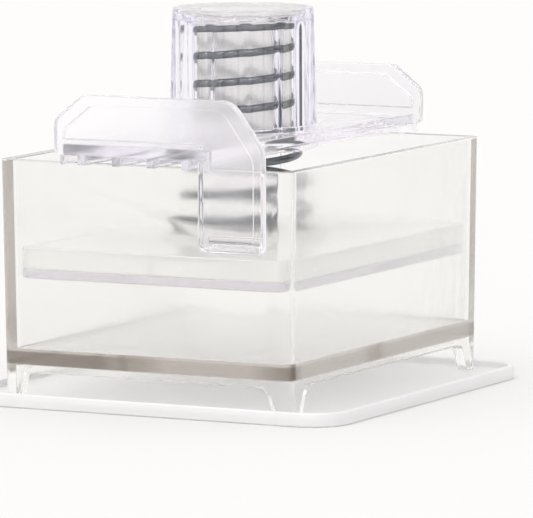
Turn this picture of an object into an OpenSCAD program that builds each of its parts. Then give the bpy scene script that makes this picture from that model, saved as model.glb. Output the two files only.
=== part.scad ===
// Spring tofu press: a clear container on four feet in a drip tray, a two-piece press
// plate, a steel spring on a guide, and a twist-lock bridge with a fluted spring cap.
// Z = 0 is the underside of the tray, and the Z axis runs up the middle of the spring.
// X is the long way of the container, along the bridge.

/* [Container] */
// Outer length at the rim
body_l = 130; // [110:1:160]
// Outer width at the rim
body_w = 100; // [92:1:130]
// Height from the feet to the rim
body_h = 73.2; // [68:0.1:90]
// Thickness of the side walls
wall = 3.5; // [3:0.1:4.5]
// How far each side draws in from the rim to the feet
body_draw = 0.8; // [0:0.1:1.5]
// Outer radius of the upright corners
body_r = 2; // [1:0.5:7]
// Inner radius of the upright corners
cavity_r = 2.5; // [2:0.5:3.5]
// Height of the cavity's floor above the feet
floor_up = 15.4; // [13:0.1:18]
// Thickness of the floor
floor_t = 4.8; // [3:0.1:5.5]
// Depth of the skirt below the floor, between the feet
skirt_drop = 2.2; // [1:0.1:3.5]
// Thickness of the skirt and the feet
skirt_wall = 3; // [2:0.1:4]
// Length of a foot along the long side
foot_l = 11; // [7:0.5:16]
// Length of a foot along the short side
foot_w = 8.5; // [6:0.5:14]
// Radius where a foot runs into the skirt
foot_r = 4; // [1:0.5:4]
// How much a foot narrows from the skirt down to its end
foot_taper = 3; // [0:0.5:4]

/* [Locking lugs] */
// Height of the rim above a lug's underside
lug_drop = 21.9; // [18:0.1:26]
// Height of a lug
lug_t = 2; // [1.5:0.1:3]
// How far a lug stands out of the short wall
lug_out = 2.2; // [1.8:0.1:2.3]
// Length of a lug
lug_l = 18; // [10:1:20]

/* [Drip tray] */
// How far the tray reaches past the rim at the short sides
tray_past_l = 3; // [2:0.5:12]
// How far the tray reaches past the rim at the long sides
tray_past_w = 14.5; // [2:0.5:20]
// Height of the tray
tray_h = 4.3; // [3.6:0.1:8]
// Thickness of the tray's floor, where the feet stand
tray_floor = 2; // [1.5:0.1:3]
// Thickness of the tray's rim
tray_rim = 2; // [1.2:0.1:2.6]
// Radius of the tray's corners
tray_r = 12; // [6:1:16]

/* [Press plate] */
// Height of the press board above the cavity's floor
press_up = 21.5; // [15:0.1:26]
// Running gap between the press plate and the cavity's narrowest wall
press_gap = 0.7; // [0.4:0.1:2]
// Thickness of the press board
board_t = 2.9; // [2:0.1:4]
// Height of the ribbed cover on the board
cover_h = 6.6; // [5:0.1:9]
// Thickness of the cover's top
cover_top = 2; // [1.5:0.1:3]
// Thickness of the cover's sides and ribs
cover_wall = 2.2; // [1.5:0.1:3]
// Height of the ring that holds the spring's foot
seat_h = 2.6; // [1.5:0.1:4]
// Thickness of that ring
seat_t = 2.2; // [1.5:0.1:3]

/* [Spring] */
// Diameter of the spring wire
wire_d = 2.4; // [2:0.1:2.8]
// Outer diameter of the spring
spring_od = 36.6; // [30:0.1:37]
// Number of turns
spring_turns = 8; // [6:0.5:9.5]
// Direction in which the lowest end of the wire points
spring_start = 285; // [0:1:359]
// Gap round the spring in its seat, the bridge and the cap
spring_gap = 0.9; // [0.5:0.1:1.5]

/* [Bridge] */
// Width of the bar
bar_w = 50; // [49:1:58]
// Thickness of the bar's slab
slab_t = 3.1; // [2.5:0.1:4]
// Height of the ribs under the slab
rib_h = 2.8; // [2:0.1:4]
// Thickness of the ribs
rib_t = 2.8; // [2:0.1:4]
// Number of ribs
ribs = 4; // [2:1:4]
// Distance between the ribs
rib_pitch = 11.8; // [10:0.1:12.4]
// Thickness of the bar's side skirts
edge_t = 1.2; // [1:0.1:1.8]
// Depth of the side skirts in the middle of the arch
edge_low = 0.4; // [0.2:0.1:2]
// Thickness of the end plates
plate_t = 3.4; // [2.8:0.1:4.5]
// Gap between an end plate and the wall it hangs over
plate_gap = 2.5; // [2.4:0.1:3.5]
// Height of the end plates above the bar
plate_h = 15.2; // [10:0.1:22]
// How far an end plate reaches past the bar on its short side
plate_past = 2; // [0.5:0.5:5]
// Distance from a tab's outer edge to the corner of the container
tab_inset = 6.8; // [5:0.1:9]
// Length of the corner cut off an end plate on its short side
cut_short_l = 9.5; // [6:0.5:12]
// Height of that cut
cut_short_h = 7.5; // [5:0.5:8]
// Length of the corner cut off an end plate on its long side
cut_long_l = 10.5; // [9:0.5:18]
// Height of that cut
cut_long_h = 14.5; // [7:0.5:16]
// Radius of the corners of the short cut
cut_r = 4; // [1:0.5:4]
// Radius of the corners of the long cut
sweep_r = 8; // [3:0.5:8]
// Width of the hanging tab
tab_w = 21.4; // [18:0.1:24]
// Radius of the tab's lower inner corner
tab_r = 3; // [1:0.5:4]
// Radius of the end plates' other corners
plate_r = 2; // [0.5:0.5:3]
// Depth of the recess in the plates' outer faces
web_in = 1.7; // [1:0.1:2]
// Width of the border round that recess
border = 3; // [2:0.1:4]
// Height of the border above the bar
sill = 1.8; // [1:0.1:3]
// Thickness of the hook under a lug
hook_t = 2.2; // [1.5:0.1:3]
// Clearance between a hook and its lug, and between the hook and the wall
hook_gap = 0.3; // [0.2:0.1:0.5]

/* [Spring cap] */
// Height of the cap above the bar
cap_h = 37.5; // [36:0.1:46]
// Thickness of the cap's wall at its top
cap_wall = 2.5; // [2:0.1:3.5]
// How much wider the cap is at its foot
cap_flare = 2; // [0:0.1:3]
// Number of grip flutes
flutes = 12; // [8:1:14]
// Radius of a flute and of its rounded upper end
flute_r = 12; // [8:0.5:16]
// Depth of a flute at the top
flute_deep = 1.3; // [0.8:0.1:1.5]
// Height of the plain band above the flutes
band_h = 1.2; // [0.8:0.1:4]
// Thickness of the cap's ceiling
ceiling_t = 1.6; // [1:0.1:3]
// Width of the cap's edge round the guide's head
lip_t = 1.8; // [1.4:0.1:2]
// Height of the collar round the cap's foot
collar_h = 2.1; // [1:0.1:4]
// Thickness of that collar
collar_t = 1.1; // [0.8:0.1:1.2]

/* [Spring guide] */
// Thickness of the guide's head
head_t = 1.3; // [1:0.1:2]
// Depth of the head below the cap's edge
head_in = 0.2; // [0.1:0.1:1]
// Gap between the guide and the inside of the spring
guide_gap = 0.4; // [0.3:0.1:1.5]
// Thickness of the guide's wall
guide_t = 1.6; // [1.2:0.1:2.5]
// Height of the guide's lower end above the bar
guide_up = 1; // [0.5:0.5:12]

/* [Hidden] */
$fn = 64;
eps = 0.01;
over = 1; // how far a cut runs past the face that it opens
fit_gap = 0.2; // clearance of pieces that are fitted together
arc_steps = 6; // straight steps in a rounded corner of an outline
arch_steps = 12; // straight steps in the arched edge of the bar
ball_steps = 16; // straight steps from the side of a flute's cutter to its tip
nook_r = 0.4; // radius of the sharpest corners
rings_per_turn = 8;
wire_sides = 6;

// Heights
feet_z = tray_floor;
rim_z = feet_z + body_h;
floor_z = feet_z + floor_up;
arch_z = floor_z - floor_t - skirt_drop;
board_z = floor_z + press_up;
cover_z = board_z + board_t;
seat_z = cover_z + cover_h;
slab_z = rim_z + rib_h;
bar_mid_z = slab_z + slab_t / 2;
bar_z = slab_z + slab_t;
cap_z = bar_z + cap_h;
head_z = cap_z - head_in - head_t;
ceiling_z = head_z - ceiling_t;
plate_z = bar_z + plate_h;
lug_z = rim_z - lug_drop;
hook_z = lug_z - hook_gap - hook_t;

// Reaches from the middle
foot_half_l = body_l / 2 - body_draw;
foot_half_w = body_w / 2 - body_draw;
press_l = 2 * (foot_half_l - wall - press_gap);
press_w = 2 * (foot_half_w - wall - press_gap);
press_r = cavity_r + press_gap;
plate_x = body_l / 2 + plate_gap;
end_x = plate_x + plate_t;
plate_short = bar_w / 2 + plate_past;
plate_long = body_w / 2 - tab_inset;
bore_r = spring_od / 2 + spring_gap;
coil_r = (spring_od - wire_d) / 2;
guide_r = coil_r * cos(180 / rings_per_turn) - wire_d / 2 - guide_gap;
cap_r = bore_r + cap_wall;
cap_foot_r = cap_r + cap_flare / 2;
collar_r = cap_foot_r + fit_gap;

// Points of an arc of radius r that rounds the corner b between a and c
function corner(a, b, c, r) =
  let (
    u = (a - b) / norm(a - b),
    v = (c - b) / norm(c - b),
    half = acos(u * v) / 2,
    centre = b + (u + v) / norm(u + v) * r / sin(half),
    from = b + u * r / tan(half) - centre,
    to = b + v * r / tan(half) - centre,
    start = atan2(from.y, from.x),
    sweep = (atan2(to.y, to.x) - start + 540) % 360 - 180
  )
  [for (k = [0:arc_steps]) let (a = start + sweep * k / arc_steps) centre + r * [cos(a), sin(a)]];

// An outline given as [x, y, radius] corners, with each corner rounded
function rounded(corners) =
  let (n = len(corners), at = function(i) [corners[i % n].x, corners[i % n].y])
  [for (i = [0:n - 1]) each corner(at(i + n - 1), at(i), at(i + 1), corners[i].z)];

module plate_outline(l, w, r) {
  polygon(rounded([[-l / 2, -w / 2, r], [l / 2, -w / 2, r], [l / 2, w / 2, r], [-l / 2, w / 2, r]]));
}

// A block whose four sides draw in towards its foot
module drafted(l, w, r, h, draw) {
  hull() {
    translate([0, 0, h - eps]) linear_extrude(eps) plate_outline(l, w, r);
    linear_extrude(eps) plate_outline(l - 2 * draw, w - 2 * draw, r);
  }
}

// The opening between two feet, as an upright prism through the whole width
module arch(span, through) {
  corners = [
    [-span / 2 - foot_taper, feet_z - over, nook_r], [span / 2 + foot_taper, feet_z - over, nook_r],
    [span / 2, arch_z, foot_r], [-span / 2, arch_z, foot_r]
  ];
  rotate([90, 0, 0]) linear_extrude(through, center = true) polygon(rounded(corners));
}

module drip_tray() {
  color([0.93, 0.93, 0.94, 0.8])
  difference() {
    tray_l = body_l + 2 * tray_past_l;
    tray_w = body_w + 2 * tray_past_w;
    linear_extrude(tray_h) plate_outline(tray_l, tray_w, tray_r);
    translate([0, 0, tray_floor]) linear_extrude(tray_h)
      plate_outline(tray_l - 2 * tray_rim, tray_w - 2 * tray_rim, tray_r - tray_rim);
  }
}

// A lug stands on each short wall, over the tab of the bridge that hooks under it
module lug() {
  lug_y = plate_long - tab_w / 2;
  root_x = foot_half_l - over;
  translate([-body_l / 2 - lug_out, -lug_y - lug_l / 2, lug_z])
    cube([body_l / 2 + lug_out - root_x, lug_l, lug_t]);
}

module container() {
  color([0.93, 0.93, 0.96, 0.35]) {
    draw_at_floor = body_draw * (1 - floor_up / body_h);
    difference() {
      union() {
        translate([0, 0, feet_z]) drafted(body_l, body_w, body_r, body_h, body_draw);
        lug();
        rotate(180) lug();
      }
      translate([0, 0, floor_z])
        drafted(body_l - 2 * wall, body_w - 2 * wall, cavity_r, body_h - floor_up + eps, draw_at_floor);
      translate([0, 0, feet_z - over]) linear_extrude(floor_z - floor_t - feet_z + over)
        plate_outline(2 * (foot_half_l - skirt_wall), 2 * (foot_half_w - skirt_wall), cavity_r);
      arch(2 * (foot_half_l - foot_l), 2 * body_w);
      rotate(90) arch(2 * (foot_half_w - foot_w), 2 * body_l);
    }
  }
}

module press_board() {
  color([0.86, 0.82, 0.92, 0.6])
  translate([0, 0, board_z]) linear_extrude(board_t) plate_outline(press_l, press_w, press_r);
}

// The cover is open below, with a cross of ribs, and carries the spring's ring
module press_cover() {
  color([0.93, 0.93, 0.92, 0.5]) {
    inner_l = press_l - 2 * cover_wall;
    inner_w = press_w - 2 * cover_wall;
    inner_h = cover_h - cover_top;
    difference() {
      translate([0, 0, cover_z]) linear_extrude(cover_h) plate_outline(press_l, press_w, press_r);
      translate([0, 0, cover_z - over]) linear_extrude(inner_h + over)
        plate_outline(inner_l, inner_w, press_r - cover_wall / 2);
    }
    cross_h = inner_h + cover_top / 2;
    cross_l = inner_l + cover_wall;
    cross_w = inner_w + cover_wall;
    translate([-cross_l / 2, -cover_wall / 2, cover_z]) cube([cross_l, cover_wall, cross_h]);
    translate([-cover_wall / 2, -cross_w / 2, cover_z]) cube([cover_wall, cross_w, cross_h]);
    translate([0, 0, seat_z - cover_top / 2]) rotate_extrude()
      translate([bore_r, 0]) square([seat_t, seat_h + cover_top / 2]);
  }
}

// The wire's middle at a share s of its length: its height climbs at an even
// pitch and eases off over the last half turn at each end
spring_low = seat_z + wire_d / 2 + eps;
spring_high = ceiling_z - wire_d / 2 - eps;
ease = 0.5 / spring_turns;
pitch = (spring_high - spring_low) / (spring_turns - 0.5);
climb = atan(pitch / (2 * PI * coil_r));
function rise(s) =
  s < ease ? s * s / (2 * ease)
  : s > 1 - ease ? 1 - ease - (1 - s) * (1 - s) / (2 * ease)
  : s - ease / 2;
function wire_turn(s) = spring_start + 360 * spring_turns * s;
function wire_at(s) = [
  coil_r * cos(wire_turn(s)), coil_r * sin(wire_turn(s)),
  spring_low + (spring_high - spring_low) * rise(s) / (1 - ease)
];

rings = ceil(spring_turns * rings_per_turn);
wire_gaps = [
  for (i = [0:rings - rings_per_turn])
    norm(wire_at((i + rings_per_turn) / rings) - wire_at(i / rings)) - wire_d
];
echo(least_gap_between_turns = min(wire_gaps));

module spring() {
  ring_points = [
    for (i = [0:rings]) let (
      a = wire_turn(i / rings),
      out = [cos(a), sin(a), 0],
      up = [sin(a) * sin(climb), -cos(a) * sin(climb), cos(climb)]
    ) each [for (k = [0:wire_sides - 1])
      wire_at(i / rings) + wire_d / 2 * (cos(360 * k / wire_sides) * out + sin(360 * k / wire_sides) * up)]
  ];
  first = [for (k = [0:wire_sides - 1]) k];
  last = [for (k = [wire_sides - 1:-1:0]) rings * wire_sides + k];
  sides = [
    for (i = [0:rings - 1], k = [0:wire_sides - 1])
      let (a = i * wire_sides + k, b = i * wire_sides + (k + 1) % wire_sides)
      each [[a, a + wire_sides, b + wire_sides], [a, b + wire_sides, b]]
  ];
  fan = function(ring) [for (k = [1:wire_sides - 2]) [ring[0], ring[k], ring[k + 1]]];
  color([0.55, 0.57, 0.58])
  polyhedron(points = ring_points, faces = concat(fan(first), sides, fan(last)));
}

// Outline of an end plate, seen from outside the front end, or of its recess, which
// is drawn in by inset and has tighter corners
module end_outline(inset, low) {
  top = plate_z - inset;
  short = plate_short - inset;
  long = plate_long - inset;
  tab_in = plate_long - tab_w + inset / 4;
  tab_low = hook_z + inset / 2;
  eased = function(r) max(r - inset / 2, nook_r);
  polygon(rounded([
    [-short, low, eased(plate_r)],
    [-short, top - cut_short_h, eased(cut_r)],
    [-short + cut_short_l, top, eased(cut_r)],
    [long - cut_long_l, top, eased(sweep_r)],
    [long, top - cut_long_h, eased(sweep_r)],
    [long, tab_low, eased(plate_r)],
    [tab_in, tab_low, eased(tab_r)],
    [tab_in, low, nook_r]
  ]));
}

module end_plate() {
  difference() {
    union() {
      translate([-plate_x, 0, 0]) rotate([90, 0, -90]) linear_extrude(plate_t) end_outline(0, slab_z);
      // the hook that turns in under the lug
      hook_root = (plate_t - web_in) / 2;
      translate([-plate_x - hook_root, -plate_long + plate_r, hook_z])
        cube([hook_root + plate_gap - hook_gap, tab_w - plate_r - tab_r, hook_t]);
    }
    translate([-end_x + web_in, 0, 0]) rotate([90, 0, -90]) linear_extrude(plate_t)
      end_outline(border, bar_z + sill);
  }
}

// A side skirt of the bar is deep over the short walls and arched between them
module side_skirt() {
  arch_l = body_l - 2 * wall;
  arch_h = rib_h - edge_low;
  arched = [for (k = [0:arch_steps])
    [arch_l * (k / arch_steps - 0.5), rim_z + arch_h * sin(180 * k / arch_steps)]];
  rotate([90, 0, 0]) linear_extrude(edge_t, center = true) polygon(concat(
    [[end_x, rim_z], [end_x, bar_mid_z], [-end_x, bar_mid_z], [-end_x, rim_z]], arched
  ));
}

module bridge() {
  color([0.93, 0.92, 0.97, 0.45]) {
    difference() {
      union() {
        translate([-end_x, -bar_w / 2, slab_z]) cube([2 * end_x, bar_w, slab_t]);
        for (i = [0:ribs - 1])
          translate([-end_x, (i - (ribs - 1) / 2) * rib_pitch - rib_t / 2, rim_z])
            cube([2 * end_x, rib_t, bar_mid_z - rim_z]);
        for (side = [-1, 1]) translate([0, side * (bar_w - edge_t) / 2, 0]) side_skirt();
        translate([0, 0, rim_z]) cylinder(r = bore_r + rib_t, h = bar_mid_z - rim_z);
        end_plate();
        rotate(180) end_plate();
        translate([0, 0, bar_mid_z]) cylinder(r = collar_r + collar_t, h = bar_z + collar_h - bar_mid_z);
      }
      translate([0, 0, bar_z]) cylinder(r = collar_r, h = collar_h + over);
      translate([0, 0, rim_z - over]) cylinder(r = bore_r, h = rib_h + slab_t + 2 * over);
    }
  }
}

// The cutter of a grip flute, with a ball for its upper end
module flute() {
  flute_h = cap_h - band_h - sqrt(2 * flute_r * flute_deep - flute_deep * flute_deep);
  tip = [for (k = [0:ball_steps])
    [flute_r * cos(90 * k / ball_steps), flute_h + flute_r * sin(90 * k / ball_steps)]];
  rotate_extrude() polygon(concat([[0, -over], [flute_r, -over]], tip));
}

// The cap stands in the bridge's collar and takes the spring's push
module spring_cap() {
  color([0.93, 0.93, 0.97, 0.4])
  difference() {
    rotate_extrude() polygon([
      [bore_r, bar_z], [cap_foot_r, bar_z], [cap_r, cap_z], [cap_r - lip_t, cap_z], [cap_r - lip_t, head_z],
      [guide_r + fit_gap, head_z], [guide_r + fit_gap, ceiling_z], [bore_r, ceiling_z]
    ]);
    for (k = [0:flutes - 1]) rotate(360 * (k + 0.5) / flutes)
      translate([cap_r - flute_deep + flute_r, 0, bar_z]) flute();
  }
}

// The guide stands inside the spring, and its head is let into the top of the cap
module spring_guide() {
  head_r = cap_r - lip_t - fit_gap;
  bore = guide_r - guide_t;
  color([0.95, 0.94, 0.92])
  rotate_extrude() polygon([
    [0, head_z], [bore, head_z], [bore, bar_z + guide_up], [guide_r, bar_z + guide_up],
    [guide_r, head_z], [head_r, head_z], [head_r, head_z + head_t], [0, head_z + head_t]
  ]);
}

drip_tray();
container();
press_board();
press_cover();
spring();
bridge();
spring_cap();
spring_guide();
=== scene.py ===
import math
import bmesh
import bpy
import numpy as np
from mathutils import Matrix, Vector


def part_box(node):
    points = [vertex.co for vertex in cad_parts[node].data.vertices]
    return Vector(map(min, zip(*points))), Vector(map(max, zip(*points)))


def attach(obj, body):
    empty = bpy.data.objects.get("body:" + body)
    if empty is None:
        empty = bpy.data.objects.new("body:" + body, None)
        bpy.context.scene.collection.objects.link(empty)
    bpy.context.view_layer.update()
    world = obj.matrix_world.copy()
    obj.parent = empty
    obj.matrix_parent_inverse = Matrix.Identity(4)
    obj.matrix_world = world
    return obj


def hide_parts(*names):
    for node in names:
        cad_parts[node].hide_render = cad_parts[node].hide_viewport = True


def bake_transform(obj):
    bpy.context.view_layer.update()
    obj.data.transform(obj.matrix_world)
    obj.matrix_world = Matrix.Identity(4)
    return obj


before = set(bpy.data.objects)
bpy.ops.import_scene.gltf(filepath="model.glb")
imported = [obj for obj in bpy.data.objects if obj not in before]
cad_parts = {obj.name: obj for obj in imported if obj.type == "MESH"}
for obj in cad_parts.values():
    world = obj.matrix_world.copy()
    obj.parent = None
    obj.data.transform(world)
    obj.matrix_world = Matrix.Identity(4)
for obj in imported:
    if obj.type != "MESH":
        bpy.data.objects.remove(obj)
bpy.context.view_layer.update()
scene = bpy.context.scene
mm = 0.001


# camera

camera = {
    "azimuth": -62.23,     # degrees round the object, from -Y
    "elevation": 6.47,
    "roll": -0.22,
    "distance": 1.9365,
    "aim": (0.0, 0.0, 0.0406),
    "lens": 423.6,         # mm, on a sensor of the width below
    "sensor": 36,
    "shiftX": 0.0424,
    "reach": 20,           # metres
}


def aimCamera(c):
    az, el, roll = (math.radians(c[k]) for k in ("azimuth", "elevation", "roll"))
    back = Vector((math.sin(az) * math.cos(el), -math.cos(az) * math.cos(el), math.sin(el)))
    level = Vector((math.cos(az), math.sin(az), 0))
    up = back.cross(level)
    right = level * math.cos(roll) + up * math.sin(roll)
    up = back.cross(right)
    data = bpy.data.cameras.new("camera")
    data.lens = c["lens"]
    data.sensor_width = c["sensor"]
    data.shift_x = c["shiftX"]
    data.clip_end = c["reach"]
    made = bpy.data.objects.new("camera", data)
    scene.collection.objects.link(made)
    turn = Matrix((right, up, back)).transposed().to_4x4()
    turn.translation = Vector(c["aim"]) + back * c["distance"]
    made.matrix_world = turn
    scene.camera = made


aimCamera(camera)
print("camera ready")


# shader nodes

def addNode(tree, kind, **settings):
    made = tree.nodes.new("ShaderNode" + kind)
    for name, value in settings.items():
        setattr(made, name, value)
    return made


def maths(tree, operation, *values, clamp=False):
    # each value is another node's output or a plain number
    made = addNode(tree, "Math", operation=operation, use_clamp=clamp)
    for socket, value in zip(made.inputs, values):
        if isinstance(value, bpy.types.NodeSocket):
            tree.links.new(value, socket)
        else:
            socket.default_value = value
    return made.outputs[0]


def mapped(tree, value, ends, results=(0, 1), bend="LINEAR"):
    # the first result at the first end, the second at the second
    made = addNode(tree, "MapRange", interpolation_type=bend)
    names = ("From Min", "From Max", "To Min", "To Max")
    for name, number in zip(names, (*ends, *results)):
        made.inputs[name].default_value = number
    tree.links.new(value, made.inputs["Value"])
    return made.outputs[0]


def ramp(tree, value, ends):
    # 0 at the first end and 1 at the last, with an even turn between
    return mapped(tree, value, ends, bend="SMOOTHSTEP")


def noise(tree, coords, scale, detail):
    made = addNode(tree, "TexNoise")
    made.inputs["Scale"].default_value = scale
    made.inputs["Detail"].default_value = detail
    tree.links.new(coords.outputs["Object"], made.inputs["Vector"])
    return made.outputs["Fac"]


def mixedShaders(tree, share, one, other):
    made = addNode(tree, "MixShader")
    for socket, value in zip(made.inputs, (share, one, other)):
        tree.links.new(value, socket)
    return made.outputs[0]


def mixedColours(tree, share, one, other):
    # a colour mix has its share in socket 0, and its colours in sockets 6 and 7
    made = addNode(tree, "Mix", data_type="RGBA")
    tree.links.new(share, made.inputs[0])
    made.inputs[6].default_value = (*one, 1)
    made.inputs[7].default_value = (*other, 1)
    return made.outputs[2]


def seenShare(tree):
    # 1 for a ray that draws the picture, straight or by way of gloss or glass
    path = addNode(tree, "LightPath")
    total = path.outputs["Is Camera Ray"]
    for name in ("Is Glossy Ray", "Is Transmission Ray"):
        total = maths(tree, "ADD", total, path.outputs[name], clamp=True)
    return total, path


# studio

studio = {
    "backdrop": (0.985, 0.985, 0.975),
    "overhead": (1.0, 0.995, 0.985),
    "overheadFrom": 0.6,           # how high up the sky has that colour, 1 is straight up
    "horizon": (0.96, 0.95, 0.96),
    "fill": 1.0,
    "card": (0.05, 0.06, 0.09),    # dark side of the room, seen only in plastic and steel
    "cardAzimuth": 24,
    "cardLow": 0.84,
    "cardHigh": 0.92,
    "floor": (0.78, 0.777, 0.772),
    "floorRough": 0.9,
    "floorLift": 0.03,
    "floorHalf": 4.0,
    "floorDown": 0.1 * mm,
    "keyStrength": 0.9,
    "keyAngle": 50,
    "keyTilt": (35, 0, -95),
    "bounces": 28,                 # walls, ribs and flutes are many faces deep
}


def lightStudio(s):
    world = bpy.data.worlds.new("studio")
    scene.world = world
    world.use_nodes = True
    tree = world.node_tree
    tree.nodes.clear()
    out = addNode(tree, "OutputWorld")
    coords = addNode(tree, "TexCoord")
    split = addNode(tree, "SeparateXYZ")
    tree.links.new(coords.outputs["Generated"], split.inputs[0])
    sky = addNode(tree, "ValToRGB")
    low, high = sky.color_ramp.elements
    low.position, low.color = 0.0, (*s["horizon"], 1)
    high.position, high.color = s["overheadFrom"], (*s["overhead"], 1)
    tree.links.new(split.outputs["Z"], sky.inputs[0])
    lit = addNode(tree, "Background")
    lit.inputs["Strength"].default_value = s["fill"]
    tree.links.new(sky.outputs[0], lit.inputs["Color"])

    az = math.radians(s["cardAzimuth"])
    facing = addNode(tree, "VectorMath", operation="DOT_PRODUCT")
    facing.inputs[1].default_value = (math.sin(az), -math.cos(az), 0)
    tree.links.new(coords.outputs["Generated"], facing.inputs[0])
    card = ramp(tree, facing.outputs["Value"], (s["cardLow"], s["cardHigh"]))
    share, path = seenShare(tree)
    inside = maths(tree, "SUBTRACT", 1, path.outputs["Is Camera Ray"])
    dark = maths(tree, "MULTIPLY", card, inside)
    seen = addNode(tree, "Background")
    tree.links.new(mixedColours(tree, dark, s["backdrop"], s["card"]), seen.inputs["Color"])
    room = mixedShaders(tree, share, lit.outputs[0], seen.outputs[0])
    tree.links.new(room, out.inputs["Surface"])

    key = bpy.data.lights.new("key", "SUN")
    key.energy = s["keyStrength"]
    key.angle = math.radians(s["keyAngle"])
    lamp = bpy.data.objects.new("key", key)
    lamp.rotation_euler = [math.radians(a) for a in s["keyTilt"]]
    scene.collection.objects.link(lamp)


def layFloor(s):
    half, z = s["floorHalf"], -s["floorDown"]
    mesh = bpy.data.meshes.new("floor")
    mesh.from_pydata([(-half, -half, z), (half, -half, z), (half, half, z), (-half, half, z)],
                     [], [(0, 1, 2, 3)])
    floor = bpy.data.objects.new("floor", mesh)
    scene.collection.objects.link(floor)
    paint = bpy.data.materials.new("floorPaint")
    paint.use_nodes = True
    tree = paint.node_tree
    shader = tree.nodes["Principled BSDF"]
    shader.inputs["Base Color"].default_value = (*s["floor"], 1)
    shader.inputs["Roughness"].default_value = s["floorRough"]
    shader.inputs["Specular IOR Level"].default_value = 0
    shader.inputs["Emission Color"].default_value = (*s["backdrop"], 1)
    lift = maths(tree, "MULTIPLY", seenShare(tree)[0], s["floorLift"])
    tree.links.new(lift, shader.inputs["Emission Strength"])
    mesh.materials.append(paint)


lightStudio(studio)
layFloor(studio)
scene.view_settings.view_transform = "Standard"
scene.cycles.max_bounces = studio["bounces"]
scene.cycles.transmission_bounces = studio["bounces"]
scene.cycles.glossy_bounces = studio["bounces"]
print("studio ready")


# materials: tint is the skin's colour, gone is what the body takes out with depth, clear
# is how much passes through, and lets is the same for lamps where it differs

plastics = {
    "container": {
        "tint": (0.992, 0.988, 0.982), "clear": 1.0, "rough": 0.12, "scuff": 0.04,
        "wave": 0.12, "depth": 7, "gone": (0.60, 0.53, 0.46),
        # band: painted shade and reflection on the floor slab's edges, lighter near the x times y
        # of light
        "band": {"tint": (0.26, 0.228, 0.203), "z": (12.7 * mm, 17.2 * mm), "fade": 0.5 * mm,
                 "light": 0.0010, "corner": (0.0006, 0.0022),    # square metres, as x times y
                 "short": (50 * mm, 63 * mm), "least": 0.36}},
    "bridge": {
        "tint": (0.992, 0.978, 1.0), "clear": 1.0, "rough": 0.03, "scuff": 0.04,
        "wave": 0.03, "depth": 1.3, "gone": (0.62, 0.36, 0.95),
        "mist": {"z": (73 * mm, 77 * mm), "x": (67.0 * mm, 67.4 * mm), "rough": 0.18,
                 "haze": 0.17}},
    "board": {
        "tint": (0.975, 0.965, 0.985), "clear": 0.8, "lets": 0.93, "rough": 0.12,
        "scuff": 0.06, "wave": 0.03, "depth": 2.5, "gone": (0.45, 0.28, 0.52)},
    "cover": {
        "tint": (0.99, 0.985, 0.97), "clear": 0.65, "lets": 0.9, "rough": 0.22,
        "scuff": 0.06, "wave": 0.04, "depth": 0.5, "gone": (0.5, 0.48, 0.40)},
    "cap": {
        "tint": (0.984, 0.971, 1.0), "clear": 1.0, "rough": 0.02, "scuff": 0.04,
        "wave": 0.04, "depth": 8, "gone": (0.55, 0.42, 0.90)},
    "guide": {
        "tint": (0.998, 0.993, 0.974), "clear": 0.87, "lets": 0.97, "rough": 0.20,
        "scuff": 0.04, "wave": 0.03, "depth": 0.5, "gone": (0.6, 0.55, 0.45)},
    "tray": {
        "tint": (0.97, 0.962, 0.966), "clear": 0.35, "rough": 0.40, "scuff": 0.10,
        "wave": 0.05, "depth": 0.5, "gone": (0.6, 0.45, 0.5)},
}

moulded = {    # what all the mouldings share
    "ior": 1.49,
    "scuffScale": 900,
    "scuffDetail": 6,
    "scuffEnds": (0.45, 0.75),
    "waveScale": 60,
    "waveDetail": 2,
    "waveHeight": 1 * mm,
    "pane": (0.985, 0.985, 0.985),
}


def mistedPlates(tree, shader, coords, dull, p):
    # the upper part of the end plates is misted: duller, and a little milky
    split = addNode(tree, "SeparateXYZ")
    tree.links.new(coords.outputs["Object"], split.inputs[0])
    away = maths(tree, "ABSOLUTE", split.outputs["X"])
    mist = maths(tree, "MULTIPLY", ramp(tree, split.outputs["Z"], p["mist"]["z"]),
                 ramp(tree, away, p["mist"]["x"]))
    duller = maths(tree, "MULTIPLY_ADD", mist, p["mist"]["rough"], dull)
    milky = maths(tree, "MULTIPLY_ADD", mist, -p["mist"]["haze"], p["clear"])
    tree.links.new(duller, shader.inputs["Roughness"])
    tree.links.new(milky, shader.inputs["Transmission Weight"])


def paintedShadeBand(tree, coords, tint, b):
    # painted shade and reflection: the edges of the floor slab, seen through its whole width, are
    # painted dark, deepest on the short sides, but lighter for a stretch beside one corner of
    # each
    split = addNode(tree, "SeparateXYZ")
    tree.links.new(coords.outputs["Object"], split.inputs[0])
    x, y, z = split.outputs
    corner = maths(tree, "SUBTRACT", maths(tree, "MULTIPLY", x, y), b["light"])
    share = ramp(tree, maths(tree, "ABSOLUTE", corner), b["corner"])
    share = maths(tree, "MULTIPLY", share, ramp(tree, maths(tree, "ABSOLUTE", x), b["short"]))
    share = maths(tree, "MAXIMUM", share, b["least"])
    low, high = b["z"]
    share = maths(tree, "MULTIPLY", share, ramp(tree, z, (low, low + b["fade"])))
    share = maths(tree, "MULTIPLY", share, ramp(tree, z, (high, high - b["fade"])))
    return mixedColours(tree, share, tint, b["tint"])


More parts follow.
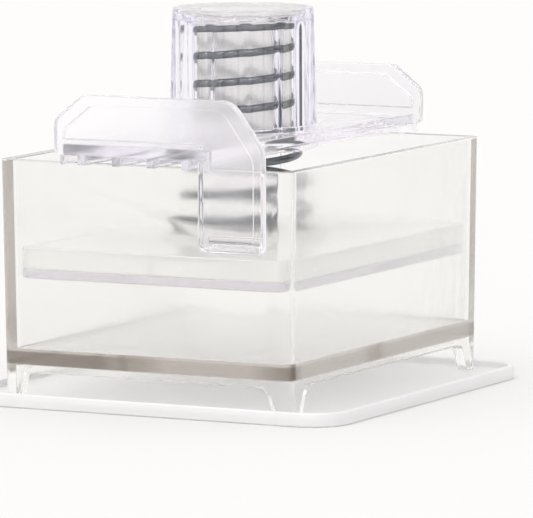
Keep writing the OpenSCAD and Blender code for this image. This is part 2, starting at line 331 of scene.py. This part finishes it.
def plastic(name, p, m):
    # see-through moulding: the body takes its colour with depth, the skin has a
    # slow waviness from the mould and fine scuffs that also dull the gloss
    made = bpy.data.materials.new(name)
    made.use_nodes = True
    tree = made.node_tree
    shader = tree.nodes["Principled BSDF"]
    out = tree.nodes["Material Output"]
    shader.inputs["Base Color"].default_value = (*p["tint"], 1)
    shader.inputs["Transmission Weight"].default_value = p["clear"]
    shader.inputs["IOR"].default_value = m["ior"]
    coords = addNode(tree, "TexCoord")
    scuffs = noise(tree, coords, m["scuffScale"], m["scuffDetail"])
    dull = mapped(tree, scuffs, m["scuffEnds"], (p["rough"], p["rough"] + p["scuff"]))
    if "mist" in p:
        mistedPlates(tree, shader, coords, dull, p)
    else:
        tree.links.new(dull, shader.inputs["Roughness"])
    bump = addNode(tree, "Bump")
    bump.inputs["Strength"].default_value = p["wave"]
    bump.inputs["Distance"].default_value = m["waveHeight"]
    tree.links.new(noise(tree, coords, m["waveScale"], m["waveDetail"]), bump.inputs["Height"])
    tree.links.new(bump.outputs["Normal"], shader.inputs["Normal"])
    # painted shade: the floor slab's dark band is mixed into the skin's colour
    if "band" in p:
        band = paintedShadeBand(tree, coords, p["tint"], p["band"])
        tree.links.new(band, shader.inputs["Base Color"])
    # lamps and soft light reach what lies behind, as they do through thin clear walls
    pane = addNode(tree, "BsdfTransparent")
    pane.inputs["Color"].default_value = (*m["pane"], 1)
    path = addNode(tree, "LightPath")
    light = maths(tree, "MAXIMUM", path.outputs["Is Shadow Ray"], path.outputs["Is Diffuse Ray"])
    lets = maths(tree, "MULTIPLY", light, p.get("lets", p["clear"]))
    surface = mixedShaders(tree, lets, shader.outputs[0], pane.outputs[0])
    tree.links.new(surface, out.inputs["Surface"])
    depth = addNode(tree, "VolumeAbsorption")
    depth.inputs["Color"].default_value = (*p["gone"], 1)
    depth.inputs["Density"].default_value = p["depth"]
    tree.links.new(depth.outputs[0], out.inputs["Volume"])
    return made


steel = {
    # colour: painted darker than bare steel, as painted shade for the dark room the wire reflects
    "colour": (0.20, 0.22, 0.23),
    "shade": 0.7,          # how dark the grain goes, as a share of that colour
    "rough": 0.05,
    "roughMore": 0.16,     # added to it where the grain is lightest
    "grainScale": 700,
    "grainDetail": 5,
}


def springSteel(s):
    made = bpy.data.materials.new("springSteel")
    made.use_nodes = True
    tree = made.node_tree
    shader = tree.nodes["Principled BSDF"]
    shader.inputs["Metallic"].default_value = 1
    grain = noise(tree, addNode(tree, "TexCoord"), s["grainScale"], s["grainDetail"])
    shade = addNode(tree, "ValToRGB")
    dark, bright = shade.color_ramp.elements
    dark.color = (*[s["shade"] * c for c in s["colour"]], 1)
    bright.color = (*s["colour"], 1)
    tree.links.new(grain, shade.inputs[0])
    # the painted-dark steel colour, with its grain, goes in as the base colour
    tree.links.new(shade.outputs[0], shader.inputs["Base Color"])
    dull = mapped(tree, grain, (0, 1), (s["rough"], s["rough"] + s["roughMore"]))
    tree.links.new(dull, shader.inputs["Roughness"])
    return made


finishes = {name: plastic(name + "Plastic", p, moulded) for name, p in plastics.items()}
finishes["steel"] = springSteel(steel)
print("materials ready")


# pieces that keep the frame's shape, with their edges eased

eased = {
    "container": {"piece": "clearContainer", "finish": "container", "body": "container",
                  "edge": 0.30 * mm, "slot": "clear_plastic",
                  "corner": {"half": (65 * mm, 50 * mm), "rim": 75.2 * mm, "height": 73.2 * mm,
                             "draw": 0.8 * mm, "from": 2 * mm, "to": 3.8 * mm}},
    "bridge": {"piece": "lockingBridge", "finish": "bridge", "body": "bridge",
               "edge": 0.30 * mm, "slot": "bridge_plastic"},
    "press_board": {"piece": "pressBoard", "finish": "board", "body": "plate",
                    "edge": 0.40 * mm, "slot": "tinted_plastic"},
    "press_cover": {"piece": "pressCover", "finish": "cover", "body": "plate",
                    "edge": 0.40 * mm, "slot": "misty_plastic"},
    "drip_tray": {"piece": "dripTray", "finish": "tray", "body": "tray",
                  "edge": 0.45 * mm, "slot": "frosted_plastic"},
}
skin = 0.02 * mm       # faces that touch in the frame are drawn in by this much
same = 0.001 * mm      # points nearer than this are one point
flat = 0.5             # degrees, faces that turn less than this are one face
sharp = 35             # degrees, edges that turn more than this are eased
edgeSteps = 2


def roundCorners(mesh, c):
    # each point on the small arc of an upright outer corner moves to the same direction
    # on a larger arc, which touches the same two faces
    points = np.empty(len(mesh.vertices) * 3)
    mesh.vertices.foreach_get("co", points)
    points = points.reshape(-1, 3)
    sides = np.array(c["half"]) - c["draw"] * (c["rim"] - points[:, 2:]) / c["height"]
    off = abs(points[:, :2]) - (sides - c["from"])
    inCorner = (off > -same).all(1)
    way = off / np.maximum(np.linalg.norm(off, axis=1, keepdims=True), same)
    moved = (sides - c["to"] + c["to"] * way) * np.sign(points[:, :2])
    points[:, :2] = np.where(inCorner[:, None], moved, points[:, :2])
    mesh.vertices.foreach_set("co", points.ravel())


def easedCopy(node, e):
    work = bmesh.new()
    work.from_mesh(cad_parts[node].data)
    bmesh.ops.remove_doubles(work, verts=work.verts, dist=same)
    bmesh.ops.dissolve_limit(work, angle_limit=math.radians(flat), verts=work.verts,
                             edges=work.edges)
    mesh = bpy.data.meshes.new(e["piece"])
    work.to_mesh(mesh)
    work.free()
    if "corner" in e:
        roundCorners(mesh, e["corner"])
    mesh.materials.append(finishes[e["finish"]])
    piece = bpy.data.objects.new(e["piece"], mesh)
    scene.collection.objects.link(piece)
    bevel = piece.modifiers.new("edges", "BEVEL")
    bevel.width = e["edge"]
    bevel.segments = edgeSteps
    bevel.limit_method = "ANGLE"
    bevel.angle_limit = math.radians(sharp)
    bevel.use_clamp_overlap = False
    shrink = piece.modifiers.new("skin", "DISPLACE")
    shrink.mid_level = 0
    shrink.strength = -skin
    mesh.polygons.foreach_set("use_smooth", [True] * len(mesh.polygons))
    mesh.set_sharp_from_angle(angle=math.radians(sharp))
    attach(piece, e["body"])
    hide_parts(node)


for node, e in eased.items():
    easedCopy(node, e)
print("eased pieces ready")


def gridMesh(name, points):
    # a surface from an array of points, rows by columns, with quads between them;
    # the last column joins the first
    rows, columns = points.shape[:2]
    a, b = np.meshgrid(np.arange(rows - 1), np.arange(columns), indexing="ij")
    a2, b2 = a + 1, (b + 1) % columns
    quads = np.stack([a * columns + b, a * columns + b2, a2 * columns + b2, a2 * columns + b], -1)
    mesh = bpy.data.meshes.new(name)
    mesh.from_pydata(points.reshape(-1, 3).tolist(), [], quads.reshape(-1, 4).tolist())
    work = bmesh.new()
    work.from_mesh(mesh)
    bmesh.ops.remove_doubles(work, verts=work.verts, dist=same)
    bmesh.ops.recalc_face_normals(work, faces=work.faces)
    work.to_mesh(mesh)
    work.free()
    mesh.polygons.foreach_set("use_smooth", [True] * len(mesh.polygons))
    return mesh


def roundedPath(corners, steps=4):
    # a path of (r, z, radius) corners, where each corner gives way to an arc that
    # touches both of its sides at radius / tan(half its angle) from the corner
    points = []
    spots = np.array([c[:2] for c in corners], float)
    for i, (r, z, radius) in enumerate(corners):
        if radius == 0 or i in (0, len(corners) - 1):
            points.append(spots[i:i + 1])
            continue
        u = spots[i - 1] - spots[i]
        v = spots[i + 1] - spots[i]
        u, v = u / np.linalg.norm(u), v / np.linalg.norm(v)
        half = math.acos(np.clip(u @ v, -1, 1)) / 2
        middle = spots[i] + (u + v) / np.linalg.norm(u + v) * radius / math.sin(half)
        first = spots[i] + u * radius / math.tan(half) - middle
        last = spots[i] + v * radius / math.tan(half) - middle
        start = math.atan2(first[1], first[0])
        sweep = (math.atan2(last[1], last[0]) - start + 3 * math.pi) % (2 * math.pi) - math.pi
        turn = start + sweep * np.linspace(0, 1, steps + 1)
        points.append(middle + radius * np.stack([np.cos(turn), np.sin(turn)], 1))
    return np.concatenate(points)


def addPiece(name, points, finish, body, node):
    mesh = gridMesh(name, points)
    mesh.materials.append(finishes[finish])
    piece = bpy.data.objects.new(name, mesh)
    scene.collection.objects.link(piece)
    if body:
        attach(piece, body)
    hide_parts(node)
    return piece


# spring cap and the guide that is let into its top

cap = {
    "bore": 19.2 * mm,
    "wall": 2.5 * mm,
    "flare": 1.0 * mm,       # how much further out the wall stands at its foot
    "height": 37.5 * mm,
    "lip": 1.8 * mm,
    "lipEdge": 0.35 * mm,
    "headIn": 1.5 * mm,      # from the cap's edge down to the seat of the guide's head
    "seatNook": 0.15 * mm,
    "hole": 14.4 * mm,
    "holeEdge": 0.2 * mm,
    "ceiling": 1.6 * mm,
    "ceilingNook": 0.6 * mm,
    "footEdge": 0.2 * mm,
    "boreEdge": 0.25 * mm,
    "flutes": 12,
    "fluteRadius": 12 * mm,
    "fluteDeep": 1.3 * mm,
    "band": 1.2 * mm,        # plain height above the flutes
    "ridge": 0.05 * mm,      # how softly flutes meet
    "hollows": 18,           # shallow hollows down the bore
    "hollowDeep": 0.3 * mm,
    "hollowTurned": 7.8,     # degrees, where the first ridge between them is
    "outerPast": 0.2 * mm,   # points further out than the lip by this may be fluted
    "outerBelow": 0.3 * mm,  # where they are also this far below the edge
    "boreWithin": 0.65 * mm, # points this near to the bore may be hollowed
    "columns": 384,
    "rows": 60,              # down the wall, closer together near its top
    "rowCrowd": 1.6,
    "rowRoom": 0.5 * mm,     # plain height kept for the edges at top and foot
}


def springCap(c):
    # the wall's radius is the lesser, softly, of a cone's and of the flutes' cutters,
    # each an upright rod with a ball for its upper end, out at distance reach; the
    # hollows add to the bore's radius by a parabola across each of them
    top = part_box("spring_cap")[1].z
    foot = top - c["height"]
    radius = c["bore"] + c["wall"]
    seat = top - c["headIn"]
    ceiling = seat - c["ceiling"]
    inner = radius - c["lip"]
    rows = np.linspace(0, 1, c["rows"]) ** c["rowCrowd"]
    wall = [(radius + c["flare"] * t, top - c["height"] * t, 0) for t in rows[1:-1]]
    path = roundedPath(
        [(c["hole"], ceiling, 0), (c["hole"], seat, c["holeEdge"]), (inner, seat, c["seatNook"]),
         (inner, top, c["lipEdge"]), (radius, top, c["lipEdge"])]
        + [w for w in wall if top - w[1] > c["rowRoom"] and w[1] - foot > c["rowRoom"]]
        + [(radius + c["flare"], foot, c["footEdge"]), (c["bore"], foot, c["boreEdge"]),
           (c["bore"], ceiling, c["ceilingNook"]), (c["hole"], ceiling, 0)])
    turn = np.arange(c["columns"]) * 2 * math.pi / c["columns"]
    r, z = path[:, :1], path[:, 1:]
    rod, deep = c["fluteRadius"], c["fluteDeep"]
    reach = radius - deep + rod
    ball = top - c["band"] - math.sqrt(2 * rod * deep - deep ** 2)
    step = 2 * math.pi / c["flutes"]
    off = turn % step - step / 2
    chord = rod ** 2 - np.maximum(z - ball, 0) ** 2 - (reach * np.sin(off)) ** 2
    cut = np.where(chord > 0, reach * np.cos(off) - np.sqrt(np.maximum(chord, 0)), 1)
    soft = c["ridge"]
    lesser = np.minimum(r, cut)
    lesser = lesser - soft * np.log(np.exp((lesser - r) / soft) + np.exp((lesser - cut) / soft))
    outer = (r > inner + c["outerPast"]) & (z < top - c["outerBelow"])
    inside = (abs(r - c["bore"]) < c["boreWithin"]) & (z <= ceiling)
    step = 2 * math.pi / c["hollows"]
    off = (turn - math.radians(c["hollowTurned"])) % step * 2 / step - 1
    r = np.where(outer, lesser, r + inside * c["hollowDeep"] * (1 - off ** 2))
    points = np.stack([r * np.cos(turn), r * np.sin(turn), z + 0 * turn], -1)
    addPiece("springCap", points, "cap", "bridge", "spring_cap")


guide = {
    "radius": 14.2 * mm,
    "wall": 1.6 * mm,
    "endEdge": 0.4 * mm,
    "head": 19.7 * mm,
    "headThick": 1.3 * mm,
    "headEdge": 0.3 * mm,
    "seatEdge": 0.2 * mm,
    "nook": 0.5 * mm,
    "columns": 160,
}


def springGuide(g):
    # a turned tube under a flat head, open below
    low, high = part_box("spring_guide")
    seat = high.z - g["headThick"] + skin
    bore = g["radius"] - g["wall"]
    path = roundedPath([
        (0, high.z, 0), (g["head"], high.z, g["headEdge"]), (g["head"], seat, g["seatEdge"]),
        (g["radius"], seat, g["seatEdge"]), (g["radius"], low.z, g["endEdge"]),
        (bore, low.z, g["endEdge"]), (bore, seat, g["nook"]), (0, seat, 0)])
    turn = np.arange(g["columns"]) * 2 * math.pi / g["columns"]
    r, z = path[:, :1], path[:, 1:]
    points = np.stack([r * np.cos(turn), r * np.sin(turn), z + 0 * turn], -1)
    addPiece("springGuide", points, "guide", "bridge", "spring_guide")


springCap(cap)
springGuide(guide)
print("cap ready")


# spring

coil = {
    "wire": 2.4 * mm,
    "outer": 36.6 * mm,
    "turns": 8,
    "easeTurns": 0.5,              # at each end, where the pitch eases off
    "start": 285,                  # degrees, where the lowest end points
    "endRings": (0.0, 0.75, 0.95), # area of the first rings, for round ends
    "rings": 64,                   # in a turn
    "sides": 20,
}


def coilSpring(c):
    # the wire's middle winds at an even pitch that eases off at each end; round
    # rings are carried along it, and they shrink to a point at each end
    low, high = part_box("spring")
    radius = c["wire"] / 2
    coilRadius = (c["outer"] - c["wire"]) / 2
    count = c["turns"] * c["rings"]
    s = np.linspace(0, 1, count + 1)
    ease = c["easeTurns"] / c["turns"]
    late = 1 - ease - (1 - s) ** 2 / (2 * ease)
    rise = np.where(s < ease, s * s / (2 * ease), np.where(s > 1 - ease, late, s - ease / 2))
    zLow, zHigh = low.z + radius, high.z - radius
    turn = np.radians(c["start"]) + 2 * np.pi * c["turns"] * s
    middle = np.stack([coilRadius * np.cos(turn), coilRadius * np.sin(turn),
                       zLow + (zHigh - zLow) * (rise / (1 - ease))], 1)
    evenTurns = c["turns"] - c["easeTurns"]
    climb = math.atan((zHigh - zLow) / evenTurns / (2 * math.pi * coilRadius))
    out = np.stack([np.cos(turn), np.sin(turn), 0 * turn], 1)
    up = np.stack([np.sin(turn) * math.sin(climb), -np.cos(turn) * math.sin(climb),
                   math.cos(climb) + 0 * turn], 1)
    swell = np.ones(count + 1)
    ends = np.sqrt(c["endRings"])
    swell[:len(ends)], swell[-len(ends):] = ends, ends[::-1]
    around = np.linspace(0, 2 * np.pi, c["sides"], endpoint=False)[None, :, None]
    ring = np.cos(around) * out[:, None] + np.sin(around) * up[:, None]
    points = middle[:, None] + radius * swell[:, None, None] * ring
    piece = addPiece("steelSpring", points, "steel", None, "spring")
    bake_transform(piece)


coilSpring(coil)
print("spring ready")
